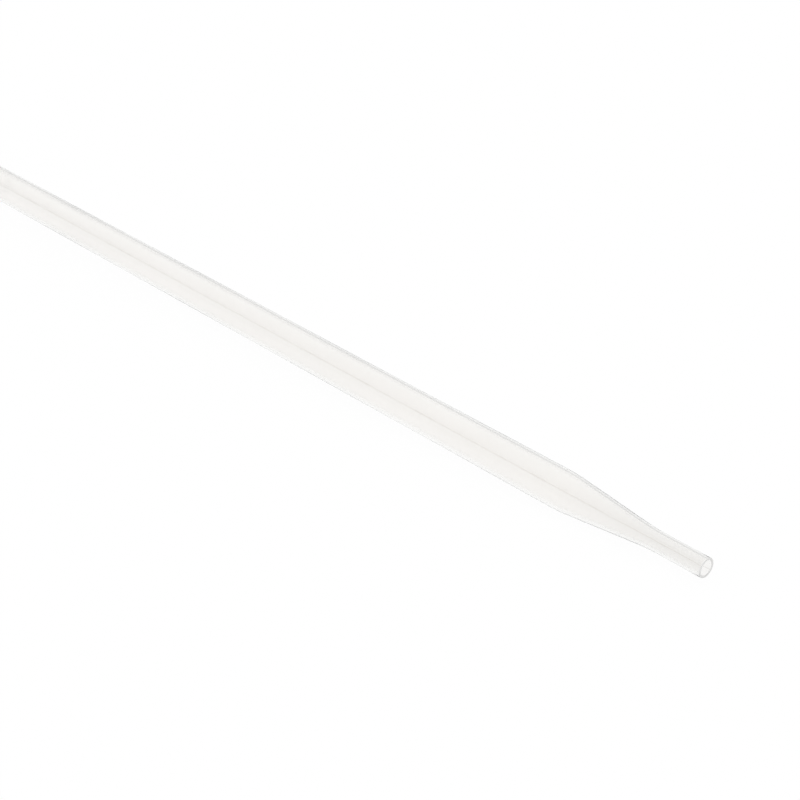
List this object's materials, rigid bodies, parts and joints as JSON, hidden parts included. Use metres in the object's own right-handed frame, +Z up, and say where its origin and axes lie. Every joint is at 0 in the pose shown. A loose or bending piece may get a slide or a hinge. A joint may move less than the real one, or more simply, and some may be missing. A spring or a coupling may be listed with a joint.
{
  "type": "plastic dropper pipette",
  "caption": "Long translucent dropper pipette: an open drawn-down tip, a plain round stem and a closed squeeze bulb, blow moulded whole.",
  "frame": {"origin": "on the bench that the pipette lies on, under the middle of its whole length", "axes": "+X towards the open tip, +Z up, +Y across; the pipette's axis lies in the XZ plane and falls 1.33 degrees towards the tip"},
  "size_m": [0.2304, 0.0134, 0.0143],
  "materials": {
    "polyethylene": "satin"
  },
  "bodies": {
    "root": {"pipette": "polyethylene"}
  },
  "joints": []
}
